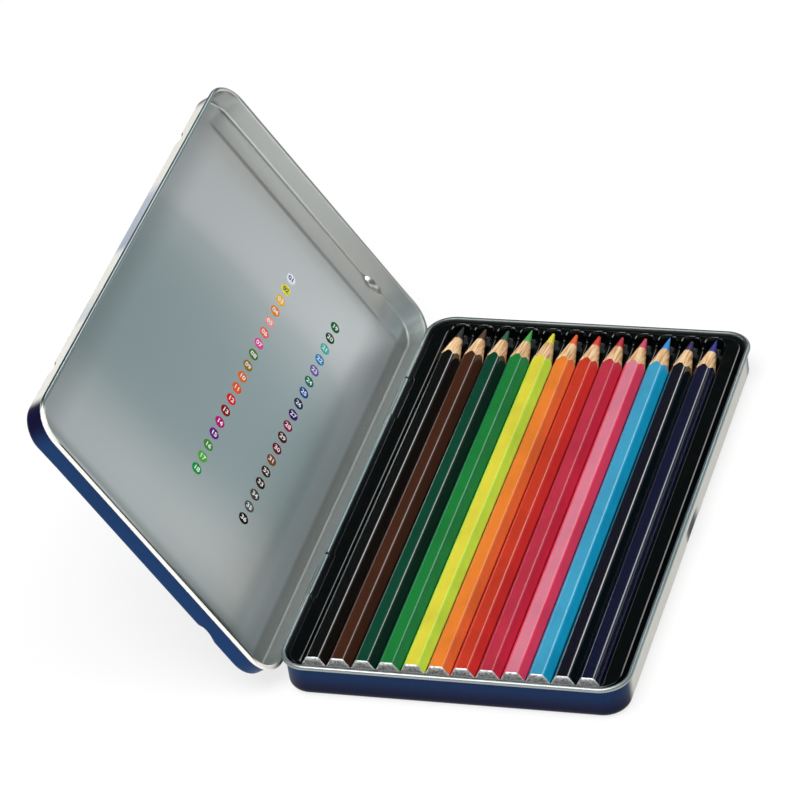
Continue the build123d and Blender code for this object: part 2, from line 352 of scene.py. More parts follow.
def printedTinplate(name, look):
    # lithographed ink under clear varnish: navy, with one long wall left pale and brushed with
    # blue-grey strokes along it; where the look says, the navy is painted darker towards violet, painted
    # shade
    w = paleWall
    finish = newFinish(name)
    place = patternPlace(finish)
    clouds = softNoise(finish, place, 30, 4)
    grain = softNoise(finish, place, 0.5, 2)
    navy = mixInk(finish, clouds, *[inkColour(code) for code in look["navies"]])
    # painted shade: the navy runs darker and more violet along the look's shade direction
    across = alongDirection(finish, place, look["shadeDirection"])
    navy = mixInk(finish, softStep(finish, across, look["shade"]), navy, inkColour(look["shadeInk"]))
    outward = alongDirection(finish, place, look["wallDirection"])
    onWall = softStep(finish, outward, [look["wallFrom"] + edge for edge in w["edge"]])
    along = alongDirection(finish, place, (0, 1, 0))
    onRun = softStep(finish, calculate(finish, "ABSOLUTE", along), w["ends"])
    pale = times(finish, onWall, onRun)
    ragged = softNoise(finish, place, w["raggedSize"])
    pushed = calculate(finish, "MULTIPLY_ADD", ragged, w["ragged"] * mm, along)
    share = remap(finish, pushed, -w["reach"] * mm, w["reach"] * mm, 0, 1, "LINEAR")
    stops = [(0, (0, 0, 0, 1)), (1, (0, 0, 0, 1))]
    for begin, end, strong in look["strokes"]:
        fading = (end - w["fadeOut"], w["fadeShare"] * strong)
        for spot, weight in ((begin, 0), (begin + w["fadeIn"], strong), fading, (end, 0)):
            stops.append(((spot + w["reach"]) / (2 * w["reach"]), (weight, weight, weight, 1)))
    cream = mixInk(finish, addRamp(finish, share, stops), inkColour(w["cream"]), inkColour(w["stroke"]))
    return finishSurface(finish, {
        "Base Color": mixInk(finish, pale, navy, cream), "Roughness": 0.38, "Specular IOR Level": 0.12,
        "Normal": relief(finish, grain, 0.003),
    })


def blackStyrene():
    # glossy sheet drawn hot over a mould: near-black, faintly uneven, with fine dust-dull patches
    finish = newFinish("blackStyrene")
    place = patternPlace(finish)
    drawn = softNoise(finish, place, 9, 2)
    dust = softNoise(finish, place, 4, 4)
    return finishSurface(finish, {
        "Base Color": inkColour("#040707"), "Roughness": remap(finish, dust, 0.35, 0.75, 0.07, 0.14),
        "IOR": 1.5, "Normal": relief(finish, drawn, 0.01),
    })


lacquerDips = {
    # flankShade: from and to, in millimetres from the pencil's middle, where the lacquer turns to its painted
    # flank shade colour
    "wavesSize": 1.6, "flankShade": (1.6, 2.3), "unevenSize": 16, "uneven": 0.14,
    "coatRoughness": 0.08, "coatIor": 1.85,
}


def pencilLacquer(name, flatCode, flankShadeCode, middle, clear):
    # several dips of lacquer over grooved cedar, with soft waves along the barrel; down the flanks either
    # side of the pencil's middle the lacquer takes a second colour, painted light and shade of the flanks
    d = lacquerDips
    finish = newFinish(name)
    place = patternPlace(finish)
    waves = softNoise(finish, patternPlace(finish, (1, 0.12, 1)), d["wavesSize"])
    across = alongDirection(finish, place, (1, 0, 0))
    aside = calculate(finish, "ABSOLUTE", calculate(finish, "SUBTRACT", across, middle * mm))
    # painted light and shade: the flanks take their own colour either side of the pencil's middle
    flankShade = softStep(finish, aside, d["flankShade"])
    tone = mixInk(finish, flankShade, inkColour(flatCode), inkColour(flankShadeCode))
    depth = softNoise(finish, place, d["unevenSize"])
    uneven = remap(finish, depth, 0.35, 0.75, 0, d["uneven"])
    tone = mixInk(finish, uneven, tone, (0, 0, 0, 1))
    return finishSurface(finish, {
        "Base Color": tone, "Roughness": 0.4, "Specular IOR Level": 0.05, "Coat Weight": clear,
        "Coat Roughness": d["coatRoughness"], "Coat IOR": d["coatIor"], "Normal": relief(finish, waves, 0.01),
    })


def sharpenedCedar():
    # machine-sharpened cedar: pale tan, darker late-wood lines along the grain, fine cutter marks
    finish = newFinish("sharpenedCedar")
    lines = softNoise(finish, patternPlace(finish, (1, 0.03, 0.12)), 0.45, 4)
    cuts = softNoise(finish, patternPlace(finish, (0.25, 6, 0.25)), 1.2, 2)
    tone = addRamp(finish, lines, [(0.38, inkColour("#b9824f")), (0.58, inkColour("#ebcb9d"))])
    bump = relief(finish, cuts, 0.002, relief(finish, lines, 0.015))
    return finishSurface(finish, {"Base Color": tone, "Roughness": 0.62, "Normal": bump})


def silverFoil():
    # silver dip on the blunt end: metal flakes in a pale binder, crinkled over the cut wood
    finish = newFinish("silverFoil")
    crinkle = softNoise(finish, patternPlace(finish), 1.1, 4, 0.6)
    patches = remap(finish, crinkle, 0.35, 0.62, 0, 1)
    return finishSurface(finish, {
        "Base Color": mixInk(finish, patches, inkColour("#b0b5b5"), inkColour("#fbfbfb")), "Metallic": 0.5,
        "Roughness": remap(finish, crinkle, 0.3, 0.7, 0.3, 0.45), "Normal": relief(finish, crinkle, 0.3),
    })


def thinnedInk(finish, pattern, code, share, lift):
    # an ink that runs to a paler one with the pattern: each linear part times share, plus lift
    full = inkColour(code)
    thinned = tuple([part * share + lift for part in full[:3]] + [1.0])
    return mixInk(finish, pattern, full, thinned)


def pigmentCore(name, code):
    # pressed pigment and binder, cut by the sharpener: waxy, with fine turning marks
    finish = newFinish(name)
    cuts = softNoise(finish, patternPlace(finish, (0.3, 5, 0.3)), 1.0)
    tone = thinnedInk(finish, cuts, code, 0.85, 0.03)
    return finishSurface(finish, {"Base Color": tone, "Roughness": 0.5, "Normal": relief(finish, cuts, 0.02)})


def chartInk(name, code):
    # a spot of printing ink on the bare tin, slightly mottled where it took unevenly
    finish = newFinish(name)
    mottle = softNoise(finish, patternPlace(finish), 0.4, 2)
    tone = thinnedInk(finish, mottle, code, 0.9, 0.004)
    return finishSurface(finish, {"Base Color": tone, "Roughness": 0.5, "Specular IOR Level": 0.06})


# tin pans

tinSheet = {
    "sheet": 0.3, "curlRadius": 0.8, "curlTurn": 290.0, "curlSteps": 26, "cornerSteps": 14,
    "edgeSteps": 8, "stationStep": 8, "stationGap": 2,
}

baseTin = {
    "rimWidth": 111.0, "rimLength": 186.0, "rimCorner": 8.7, "height": 12.4, "edgeRadius": 2.5,
    "recessLength": 18.0, "recessDepth": 0.6, "recessLow": 1.6, "recessHigh": 5.4, "recessSoft": 0.5,
    "recessReach": 1.2, "recessStations": np.linspace(-9.6, 9.6, 25), "floorRows": [-1.4, -0.5],
    "wallRows": [2.9, 3.4, 4.0, 4.5, 4.9, 5.2, 5.6, 6.0, 7.5, 9.0, 10.5, 11.1],
}

lidTin = {
    "rimWidth": 114.8, "rimLength": 189.8, "rimCorner": 10.6, "height": 8.5, "edgeRadius": 1.2,
    "hingeX": -57.4, "hingeZ": 6.8, "openAngle": 121.8, "windowHalf": 10.75, "floorRows": [-0.02],
    "wallRows": [1.45, 1.8, 2.2, 2.7, 3.3, 4.1, 5.0, 6.0, 6.9],
    # the field's inset and slope are at the hinge wall, the opening wall and the end walls
    "fieldRise": 0.4, "fieldInset": (1.1, 4.5, 9.0), "fieldSlope": (3.5, 2.0, 2.0), "fieldCorner": 4.0,
    "fieldShares": (1.5, 1.2, 1.0, 0.85, 0.67, 0.5, 0.33, 0.15, 0.0),
    "marginInsets": ((1.06, 2.4), (1.02, 1.7), (0.98, 1.25)),
    "levelFrom": 8.0, "levelTo": 2.0, "levelHeight": 3.0,
    "dimpleFromHinge": 24.0, "dimpleFromMiddle": 64.3, "dimpleInset": 0.5, "dimpleReach": 2.17,
    "dimpleStretch": 2.0, "dimplePower": 8, "dimpleRange": 2.2, "dimpleStations": np.linspace(-6.6, 6.6, 27),
}

hingeLugs = {
    "length": 20.0, "spacing": 95.0, "rootZ": 10.5, "foldZ": 12.0, "reach": 1.0, "bend": 0.6,
    "centreOffset": 1.9, "curlRadius": 0.9, "wrap": 265.0, "cutHalf": 10.6,
    "bendSteps": 7, "wrapSteps": 24, "acrossShares": (-1, -0.985, 0, 0.985, 1),
}

lugPlaces = (-hingeLugs["spacing"] / 2, hingeLugs["spacing"] / 2)
openTurn = radians(lidTin["openAngle"])
lidAlong = np.array([cos(openTurn), 0.0, sin(openTurn)])
lidInward = np.array([sin(openTurn), 0.0, -cos(openTurn)])
hingePoint = np.array([lidTin["hingeX"], 0.0, lidTin["hingeZ"]])
hingeAlong, hingeInward = float(np.dot(hingePoint, lidAlong)), float(np.dot(hingePoint, lidInward))


def openLid(points):
    # a pan that opens upwards, laid with its rim on the hinge and swung back to its stop: the
    # hinge's point, plus x from the hinge along the lid, plus z from the rim into it
    points = np.asarray(points, float)
    along = points[..., 0:1] - lidTin["hingeX"]
    inward = points[..., 2:3] - (lidTin["height"] - tinSheet["curlRadius"])
    turned = hingePoint + along * lidAlong + inward * lidInward
    turned[..., 1] = -points[..., 1]
    return turned


def wallStations(front, back, ends, halfRun):
    # stations round a rounded rectangle, counter-clockwise from the near end of the front wall:
    # each has an anchor on the core rectangle, from -1 to 1, and an outward direction
    anchors, outward = [], []
    steps = np.linspace(0, pi / 2, tinSheet["cornerSteps"] + 1)
    runs = [
        (np.array(front) / halfRun[1], (1, None), 0),
        (np.array(ends) / halfRun[0], (None, 1), 1),
        (np.array(back) / halfRun[1], (-1, None), 2),
        (np.array(ends) / halfRun[0], (None, -1), 3),
    ]
    corners = [(1, 1), (-1, 1), (-1, -1), (1, -1)]
    for fractions, fixed, quarter in runs:
        fractions = np.sort(fractions) if quarter in (0, 3) else -np.sort(-fractions)
        line = np.empty((len(fractions), 2))
        line[:, 0] = fractions if fixed[0] is None else fixed[0]
        line[:, 1] = fractions if fixed[1] is None else fixed[1]
        heading = quarter * pi / 2
        anchors.append(line)
        outward.append(np.tile([cos(heading), sin(heading)], (len(fractions), 1)))
        angles = heading + steps
        anchors.append(np.tile(corners[quarter], (len(angles), 1)))
        outward.append(np.stack([np.cos(angles), np.sin(angles)], -1))
    return np.concatenate(anchors), np.round(np.concatenate(outward), 9)


def ringStack(rings, anchors, outward):
    # each ring is (centre x, centre y, half width, half length, corner radius, height), and its
    # points are centre + anchor * (half size - radius) + outward * radius
    rings = np.asarray(rings, float)[:, None, :]
    radius = rings[..., 4:5]
    plan = rings[..., 0:2] + anchors * (rings[..., 2:4] - radius) + outward * radius
    return np.concatenate([plan, np.broadcast_to(rings[..., 5:6], plan.shape[:2] + (1,))], -1)


def panProfile(pan):
    # the sheet's two faces from the floor, round the edge, up the wall and round the curl:
    # rows of (offset from the rim's middle, height), and how many rows come before the curl; each
    # arc is centre + radius * (cos, sin) of its angles
    sheet, curl = tinSheet["sheet"], tinSheet["curlRadius"]
    rimZ, edge = pan["height"] - curl, pan["edgeRadius"]
    wall = {"outer": sheet - curl, "inner": -curl}
    foot = wall["outer"] - edge
    turn = np.linspace(0, pi / 2, tinSheet["edgeSteps"] + 1)
    curlAngles = np.radians(180 - np.linspace(0, tinSheet["curlTurn"], tinSheet["curlSteps"] + 1))
    faces = {}
    for side, grow in (("outer", 0.0), ("inner", sheet)):
        radius = edge - grow
        reach = curl - sheet + grow
        faces[side] = np.concatenate([
            [(foot + step, grow) for step in pan["floorRows"]],
            np.stack([foot + radius * np.sin(turn), edge - radius * np.cos(turn)], -1),
            [(wall[side], z) for z in pan["wallRows"]],
            np.stack([reach * np.cos(curlAngles), rimZ + reach * np.sin(curlAngles)], -1),
        ])
    beforeCurl = len(pan["floorRows"]) + len(turn) + len(pan["wallRows"])
    return faces, beforeCurl


def panRings(pan, profile):
    # the rim's rounded rectangle, grown by each row's offset
    width, length = pan["rimWidth"] / 2, pan["rimLength"] / 2
    return [(0, 0, width + o, length + o, pan["rimCorner"] + o, z) for o, z in profile]


def halfRuns(pan):
    return (pan["rimWidth"] / 2 - pan["rimCorner"], pan["rimLength"] / 2 - pan["rimCorner"])


def evenRun(limit, extra=()):
    # even stations short of both ends, and closer ones where the metal is formed
    count = int(2 * limit / tinSheet["stationStep"])
    even = np.linspace(-limit, limit, count + 1)[1:-1]
    extra = np.asarray(list(extra), float)
    if len(extra):
        even = even[np.min(np.abs(even[:, None] - extra[None, :]), axis=1) > tinSheet["stationGap"]]
    return np.unique(np.round(np.concatenate([even, extra]), 4))


def smoothBetween(value, low, high):
    # 0 below low and 1 above high, with 3 t^2 - 2 t^3 between
    t = np.clip((value - low) / (high - low), 0, 1)
    return t * t * (3 - 2 * t)


def pressRecess(points):
    # the front wall bends in by depth * (1 - (y / half length)^2), less and less above and below
    t = baseTin
    soft = t["recessSoft"]
    arc = np.clip(1 - (points[..., 1] / (t["recessLength"] / 2)) ** 2, 0, 1)
    band = smoothBetween(points[..., 2], t["recessLow"] - soft, t["recessLow"] + soft)
    band = band * (1 - smoothBetween(points[..., 2], t["recessHigh"] - soft, t["recessHigh"] + soft))
    onFront = points[..., 0] > t["rimWidth"] / 2 - tinSheet["curlRadius"] - t["recessReach"]
    pressed = points.copy()
    pressed[..., 0] -= t["recessDepth"] * arc * band * onFront
    return pressed


def levelFront(points, lift, highX):
    # towards the opening side the margin sinks to the field's level, so that no step shows there;
    # the wall above it is drawn down with it, less and less up to the level height
    t = lidTin
    height = points[..., 2] - lift
    side = smoothBetween(points[..., 0], highX - t["levelFrom"], highX - t["levelTo"])
    fade = 1 - smoothBetween(height, 0, t["levelHeight"])
    sunk = (np.minimum(height, 0) + t["fieldRise"]) * fade * side
    level = points.copy()
    level[..., 2] -= sunk
    return level


def pressDimples(points, reach):
    # around each centre on the lid's edge the metal is pushed out to a ball of the given reach, drawn
    # out along the wall: new distance = the power mean of the old distance and the reach
    t = lidTin
    sideX, sideY = (t[key] / 2 - t["dimpleInset"] for key in ("rimWidth", "rimLength"))
    endX = t["hingeX"] + t["dimpleFromHinge"]
    drawn, power = t["dimpleStretch"], t["dimplePower"]
    centres = [((sideX, s * t["dimpleFromMiddle"], 0.0), (1, drawn, 1)) for s in (-1, 1)]
    centres += [((endX, s * sideY, 0.0), (drawn, 1, 1)) for s in (-1, 1)]
    pressed = points.copy()
    for centre, stretch in centres:
        away = pressed - np.array(centre)
        distance = np.maximum(np.linalg.norm(away / np.array(stretch), axis=-1, keepdims=True), 1e-6)
        wanted = (distance ** power + reach ** power) ** (1 / power)
        near = distance < t["dimpleRange"] * reach
        pressed = np.where(near, pressed + away * (wanted / distance - 1), pressed)
    return pressed


def lugStrip(place):
    # a strip that leaves the wall upwards, folds out, drops and curls round the lid's rim: points
    # and headings of straight runs and arcs, the second face a sheet's thickness to the right
    g = hingeLugs
    inside, fold, reach, bend = -tinSheet["curlRadius"], g["foldZ"], g["reach"], g["bend"]
    arcs = [
        ((inside + bend, fold - bend), bend, 180, -90, g["bendSteps"]),
        ((reach - bend, fold - bend), bend, 90, -90, g["bendSteps"]),
        ((g["centreOffset"], lidTin["hingeZ"]), g["curlRadius"], 180, g["wrap"], g["wrapSteps"]),
    ]
    path, headings = [np.array([[inside, g["rootZ"]]])], [np.array([90.0])]
    for centre, radius, start, sweep, steps in arcs:
        angles = start + np.linspace(0, sweep, steps + 1)
        turn = np.radians(angles)
        path.append(np.array(centre) + radius * np.stack([np.cos(turn), np.sin(turn)], -1))
        headings.append(angles + (90 if sweep > 0 else -90))
    path, heading = np.concatenate(path), np.radians(np.concatenate(headings))
    right = np.stack([np.sin(heading), -np.cos(heading)], -1)
    ys = place + np.array(g["acrossShares"]) * g["length"] / 2
    skins = []
    for flat in (path, path + tinSheet["sheet"] * right):
        skin = np.empty((len(flat), len(ys), 3))
        skin[..., 0] = -(baseTin["rimWidth"] / 2 + flat[:, None, 0])
        skin[..., 1] = ys[None, :]
        skin[..., 2] = flat[:, None, 1]
        skins.append(skin)
    keep = np.ones((len(path) - 1, len(ys) - 1), bool)
    return sheetShell(skins[1], skins[0], keep, ring=False)


def lugEdges(half):
    return [place + side * half for place in lugPlaces for side in (-1, 1)]


def cellsAtLugs(anchors, outward, halfRun, half):
    # which cells between stations lie on the hinge wall within half a width of a lug's middle
    ys = anchors[:, 1] * halfRun[1]
    middles = (ys + np.roll(ys, -1)) / 2
    onBack = (outward[:, 0] < -0.999) & (np.roll(outward[:, 0], -1) < -0.999)
    return onBack & (np.min([np.abs(middles - place) for place in lugPlaces], axis=0) < half)


def panShell(outer, inner, keep, curlRow):
    # both skins of a pan with its floors closed, and a finish for each face: print on the outside
    # up to the curl, bare tin elsewhere
    points, outside, inside, strips = sheetShell(outer, inner, keep, ring=True)
    rowOf = np.repeat(np.arange(len(keep)), keep.sum(axis=1))
    count, half = outer.shape[1], len(points) // 2
    floors = [list(range(count)), list(range(half, half + count))]
    faces = outside.tolist() + inside.tolist() + strips.tolist() + floors
    finishOf = np.where(rowOf < curlRow, 0, 1).tolist() + [1] * (len(inside) + len(strips)) + [0, 1]
    return points, faces, finishOf


def makeBaseTin(printed, bare):
    halfRun = halfRuns(baseTin)
    front = evenRun(halfRun[1], baseTin["recessStations"])
    back = evenRun(halfRun[1], lugEdges(hingeLugs["cutHalf"]))
    anchors, outward = wallStations(front, back, evenRun(halfRun[0]), halfRun)
    profile, curlRow = panProfile(baseTin)
    rings = [panRings(baseTin, profile[side]) for side in ("outer", "inner")]
    outer, inner = [pressRecess(ringStack(skin, anchors, outward)) for skin in rings]
    keep = np.ones((len(outer) - 1, len(anchors)), bool)
    keep[curlRow - 2:, cellsAtLugs(anchors, outward, halfRun, hingeLugs["cutHalf"])] = False
    points, faces, finishOf = panShell(outer, inner, keep, curlRow)
    for place in lugPlaces:
        lugPoints, *lugFaces = lugStrip(place)
        for part in lugFaces:
            faces += (part + len(points)).tolist()
            finishOf += [1] * len(part)
        points = np.concatenate([points, lugPoints])
    piece = addPiece("base_tin_formed", points, faces, [printed, bare], finishOf)
    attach(piece, "base")
    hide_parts("base_tin")


def lidFieldRings():
    # rings from the field outwards: down the field's slope by share, then in the margin
    t = lidTin
    inset = tinSheet["curlRadius"]
    edges = []
    for share in t["fieldShares"]:
        insets = [edge + share * slope for edge, slope in zip(t["fieldInset"], t["fieldSlope"])]
        edges.append((*insets, t["fieldCorner"] - share, -t["fieldRise"] * smoothBetween(share, 0.0, 1.0)))
    for hingeInset, otherInset in t["marginInsets"]:
        edges.append((hingeInset, otherInset, otherInset, t["rimCorner"] - inset - otherInset, 0.0))
    rings = []
    for hingeInset, openInset, endInset, radius, height in edges:
        low = -t["rimWidth"] / 2 + inset + hingeInset
        high = t["rimWidth"] / 2 - inset - openInset
        halfLength = t["rimLength"] / 2 - inset - endInset
        rings.append(((low + high) / 2, 0, (high - low) / 2, halfLength, radius, height))
    return rings


def makeLidTin(printed, bare):
    t = lidTin
    halfRun = halfRuns(t)
    fine = t["dimpleStations"]
    front = evenRun(halfRun[1], np.concatenate([s * t["dimpleFromMiddle"] + fine for s in (-1, 1)]))
    back = evenRun(halfRun[1], lugEdges(t["windowHalf"]))
    ends = evenRun(halfRun[0], t["hingeX"] + t["dimpleFromHinge"] + fine)
    anchors, outward = wallStations(front, back, ends, halfRun)
    profile, beforeCurl = panProfile(t)
    highX = t["rimWidth"] / 2 - tinSheet["curlRadius"] - t["fieldInset"][1]
    field = lidFieldRings()
    skins = []
    for side, lift in (("outer", 0.0), ("inner", tinSheet["sheet"])):
        rings = [(*ring[:5], ring[5] + lift) for ring in field] + panRings(t, profile[side])
        flat = levelFront(ringStack(rings, anchors, outward), lift, highX)
        skins.append(pressDimples(flat, t["dimpleReach"] - tinSheet["sheet"] + lift))
    curlRow = len(field) + beforeCurl
    keep = np.ones((len(skins[0]) - 1, len(anchors)), bool)
    keep[curlRow - 2:curlRow, cellsAtLugs(anchors, outward, halfRun, t["windowHalf"])] = False
    points, faces, finishOf = panShell(*skins, keep, curlRow)
    piece = addPiece("lid_tin_formed", openLid(points), faces, [printed, bare], finishOf)
    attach(piece, "lid")
    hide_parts("lid_tin")


# pencil tray

pencilTray = {
    "lowX": -54.0, "highX": 53.0, "lowY": -91.1, "highY": 91.8, "corner": 7.0, "top": 11.2,
    "skirtRows": (9.2, 5.5, 1.535, 1.435), "edgeRadius": 0.6, "floor": 6.7, "sheet": 0.4,
    "notchDepth": 0.7, "notchHalf": 11.0, "notchAt": 47.5, "notchSoft": 0.35,
    "ribTop": 9.2, "ribsEnd": 87.7, "troughHalf": 3.55, "troughSlope": 20.0, "troughRise": 0.1,
    "pocketRadius": 2.9, "pocketCentreY": 88.4, "pocketSlope": 4.45, "pocketLip": 0.8, "pocketGrow": 0.74,
    "recessLip": 0.5, "recessGrow": 0.65, "recessSlope": 3.5, "rowStart": -90.6, "rowCorner": 2.0,
    "rowHalf": 48.35, "rowMiddle": -0.5, "soft": 0.45, "troughSoft": 0.3,
    # where the mesh has its columns across a trough, and its rows and columns in from an edge
    "columns": (0, 0.6, 1.2, 1.8, 2.2, 2.5, 2.75, 2.95, 3.1, 3.25, 3.4, 3.55, 3.75, 4),
    "fromEdge": (0, 0.03, 0.1, 0.22, 0.38, 0.58, 0.85, 1.3, 2.0, 2.8, 3.5, 4.0, 4.3, 4.55, 4.75, 4.95, 5.2),
    "nearRows": (2.6, 3.4, 4.4, 5.6, 7.0, 9.0), "plainRows": np.arange(-78, 83, 6.0),
    "pocketRows": np.arange(84.6, 91.0, 0.16), "notchRows": np.linspace(-0.5, 0.5, 9), "notchClear": 1.5,
    "fixedColumns": (-43.0, 42.0),
}

pencilRow = {"pencils": 12, "pitch": 8.0, "first": -44.5, "axisZ": 10.15, "bluntY": -90.3}


def softMin(a, b, k):
    # the lower of two heights, blended over k where they cross
    h = np.clip(0.5 + 0.5 * (b - a) / k, 0, 1)
    return b * (1 - h) + a * h - k * h * (1 - h)


def softMax(a, b, k):
    return -softMin(-a, -b, k)


def lipDrop(inside, radius, slope):
    # how far a drawn wall has dropped at a distance inside its edge: first round the lip,
    # radius - sqrt(radius^2 - inside^2), then straight down at the given slope
    turn = radius * slope / sqrt(1 + slope ** 2)
    bend = np.clip(inside, 0, turn)
    return radius - np.sqrt(radius ** 2 - bend ** 2) + np.maximum(inside - turn, 0) * slope


def trayLeftEdge(y):
    # the hinge side of the tray steps in beside each lug
    t = pencilTray
    inside = t["notchHalf"] - np.abs(np.abs(y) - t["notchAt"])
    return t["lowX"] + t["notchDepth"] * smoothBetween(inside, -t["notchSoft"], t["notchSoft"])


def insideRounded(x, y, middle, half, corner):
    # how far a point is inside a rounded rectangle
    qx, qy = np.abs(x - middle[0]) - (half[0] - corner), np.abs(y - middle[1]) - (half[1] - corner)
    return corner - np.hypot(np.maximum(qx, 0), np.maximum(qy, 0)) - np.minimum(np.maximum(qx, qy), 0)


def trayHeight(x, y):
    # the lowest of the land with its rounded edge, the row's recess, the troughs that slope down
    # on both sides to the floor, and the round-ended pockets
    t = pencilTray
    top, edge, everywhere = t["top"], t["edgeRadius"], np.ones_like(x)
    middle = ((t["lowX"] + t["highX"]) / 2, (t["lowY"] + t["highY"]) / 2)
    half = ((t["highX"] - t["lowX"]) / 2, (t["highY"] - t["lowY"]) / 2)
    inside = insideRounded(x, y, middle, half, t["corner"])
    inset = np.clip(np.minimum(inside, x - trayLeftEdge(y)), 0, edge)
    land = top - edge + np.sqrt(np.maximum(edge ** 2 - (edge - inset) ** 2, 0))
    rowMiddle = (t["rowMiddle"], (t["rowStart"] + t["ribsEnd"]) / 2)
    rowHalf = (t["rowHalf"], (t["ribsEnd"] - t["rowStart"]) / 2)
    inRow = insideRounded(x, y, rowMiddle, rowHalf, t["rowCorner"])
    recess = top - lipDrop(inRow + t["recessLip"] * t["recessGrow"], t["recessLip"], t["recessSlope"])
    recess = softMax(recess, t["ribTop"] * everywhere, t["soft"])
    nearest = np.clip(np.round((x - pencilRow["first"]) / pencilRow["pitch"]), 0, pencilRow["pencils"] - 1)
    dx = np.abs(x - (pencilRow["first"] + nearest * pencilRow["pitch"]))
    trough = t["ribTop"] + t["troughRise"] - (t["troughHalf"] - dx) / tan(radians(t["troughSlope"]))
    trough = softMax(trough, t["floor"] * everywhere, t["soft"])
    trough = np.where(inRow > 0, trough, top + 1)
    within = t["pocketRadius"] + t["pocketGrow"] * t["pocketLip"]
    within = within - np.hypot(dx, np.maximum(y - t["pocketCentreY"], 0))
    pocket = top - lipDrop(within, t["pocketLip"], t["pocketSlope"])
    pocket = np.where(y > t["pocketCentreY"] - t["pocketRadius"], pocket, top + 1)
    pocket = softMax(pocket, t["floor"] * everywhere, t["soft"])
    height = softMin(np.minimum(land, recess), trough, t["troughSoft"])
    return np.minimum(height, pocket)


def makeTray(styrene):
    t = pencilTray
    local = np.array(t["columns"])
    local = np.concatenate([-local[:0:-1], local])
    row = (pencilRow["first"] + pencilRow["pitch"] * np.arange(pencilRow["pencils"]))[:, None] + local
    edge = np.array(t["fromEdge"])
    xs = np.concatenate([t["lowX"] + edge, row.ravel(), t["highX"] - edge[::-1]])
    xs = np.unique(np.round(xs, 4))
    notchRows = np.concatenate([
        s * t["notchAt"] + e * t["notchHalf"] + t["notchRows"] for s in (-1, 1) for e in (-1, 1)
    ])
    farRows = np.concatenate([t["pocketRows"], t["highY"] - edge[:6][::-1]])
    nearRows = t["lowY"] + np.concatenate([edge[:9], t["nearRows"]])
    plain = t["plainRows"]
    plain = plain[np.min(np.abs(plain[:, None] - notchRows[None, :]), axis=1) > t["notchClear"]]
    ys = np.unique(np.round(np.concatenate([nearRows, plain, notchRows, farRows]), 4))
    y = np.repeat(ys[:, None], len(xs), axis=1)
    # towards each side the columns draw in to follow the rounded corners and the notches
    past = np.abs(ys - (t["lowY"] + t["highY"]) / 2) - ((t["highY"] - t["lowY"]) / 2 - t["corner"])
    pulled = t["corner"] - np.sqrt(np.maximum(t["corner"] ** 2 - np.maximum(past, 0) ** 2, 0))
    left = np.maximum(t["lowX"] + pulled, trayLeftEdge(ys))
    x = np.repeat(xs[None, :], len(ys), axis=0)
    for anchor, full, drawn in zip(t["fixedColumns"], (t["lowX"], t["highX"]), (left, t["highX"] - pulled)):
        scaled = anchor + (x - anchor) * ((drawn - anchor) / (full - anchor))[:, None]
        x = np.where((x - anchor) * (full - anchor) > 0, scaled, x)
    surface = np.stack([x, y, trayHeight(x, y)], -1)
    rows, columns = x.shape
    index = np.arange(rows * columns).reshape(rows, columns)
    faces = gridQuads(rows, columns, ring=False).reshape(-1, 4)
    # the skirt hangs from the edge all round
    loop = np.concatenate([index[0], index[1:, -1], index[-1, -2::-1], index[-2:0:-1, 0]])
    rim = surface.reshape(-1, 3)[loop]
    hem = []
    for height in t["skirtRows"]:
        ring = rim.copy()
        ring[:, 2] = height
        hem.append(ring)
    points = np.concatenate([surface.reshape(-1, 3)] + hem)
    start = rows * columns
    loops = [loop] + [start + k * len(loop) + np.arange(len(loop)) for k in range(len(hem))]
    skirt = []
    for upper, lower in zip(loops[:-1], loops[1:]):
        skirt.append(np.stack([upper, lower, np.roll(lower, -1), np.roll(upper, -1)], -1))
    faces = np.concatenate([faces] + skirt)
    piece = addPiece("pencil_tray_formed", points, faces, [styrene], closed=False, crease=60)
    wall = piece.modifiers.new("sheet", "SOLIDIFY")
    wall.thickness = t["sheet"] * mm
    wall.offset = -1
    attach(piece, "tray")
    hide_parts("pencil_tray")


# pencils

pencilForm = {
    "flats": 6.9, "edgeRadius": 0.9, "length": 181.9, "taper": 0.185, "leadRadius": 1.65, "boreRadius": 1.7,
    "leadCover": 0.8, "endRound": 0.45, "arcSteps": 6, "flatSteps": 3, "leadColumns": 32, "tipSteps": 6,
    # rows of the mesh: shares of the width on the blunt end, turns round its edge, places up the
    # barrel, shares of the wood's cone and of the lead's
    "endShares": (0.15, 0.4, 0.65, 0.8), "endTurns": (0, 22.5, 45, 67.5, 90),
    "barrelRows": (0.9, 4, 30, 60, 90, 120, 150, 160), "coneShares": (0.03, 0.3, 0.6, 0.97, 1.0),
    "leadShares": (0.05, 0.35, 0.7),
}

# lacquer on the flats, the lacquer's painted light and shade colour down the flanks, core, the radius that
# the point is worn to in millimetres, and the weight of the clear coat
pencilColours = {
    "black": ("#020403", "#020b0b", "#15181a", 0.25, 0.9),
    "dark_brown": ("#3e1f12", "#432619", "#4a2a1c", 0.4, 0.5),
    "dark_green": ("#043e2b", "#111d1b", "#0d5038", 0.45, 0.65),
    "green": ("#187233", "#026e46", "#3f9c3e", 0.2, 0.3),
    "yellow": ("#cdc43b", "#bef250", "#dcd832", 0.5, 0.12),
    "orange": ("#d8772b", "#e0733b", "#e4601f", 0.5, 0.16),
    "vermilion": ("#b73520", "#d43731", "#d2331f", 0.55, 0.35),
    "crimson": ("#af2e41", "#ba2f49", "#b81c33", 0.5, 0.28),
    "pink": ("#ca7487", "#f43c59", "#cc4460", 0.5, 0.15),
    "light_blue": ("#3a95b7", "#16a9d9", "#2f8cd0", 0.2, 0.43),
    "violet": ("#090a19", "#021112", "#2d1b52", 0.55, 1.0),
    "navy": ("#0a0f2b", "#040528", "#23237e", 0.2, 0.75),
}


